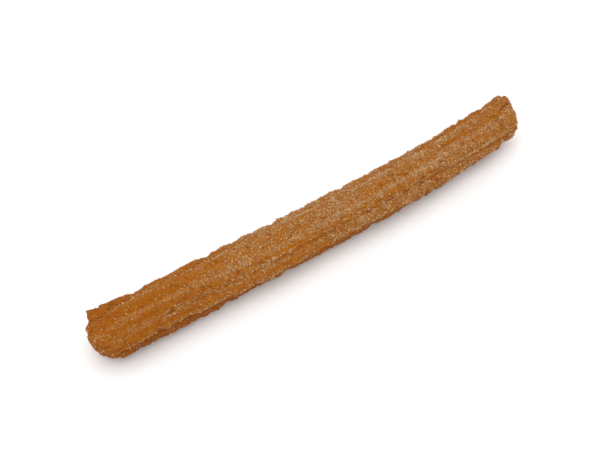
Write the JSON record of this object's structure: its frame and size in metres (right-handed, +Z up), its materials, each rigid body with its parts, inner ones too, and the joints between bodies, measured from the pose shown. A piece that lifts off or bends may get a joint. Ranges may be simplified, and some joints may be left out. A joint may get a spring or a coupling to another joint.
{
  "type": "churro",
  "caption": "Straight fried-dough churro with rounded lengthwise ridges, a slight bow and rough cut ends, rolled in sugar and cinnamon.",
  "frame": {"origin": "middle of the bounding box's base, on the surface that the churro rests on", "axes": "+X along the bar, +Z up, and -Y towards the side that bulges"},
  "size_m": [0.2582, 0.0322, 0.0244],
  "materials": {
    "fried_dough": "matt browned crust with a coat of sugar grains and cinnamon"
  },
  "bodies": {
    "root": {"churro": "fried_dough"}
  },
  "joints": []
}
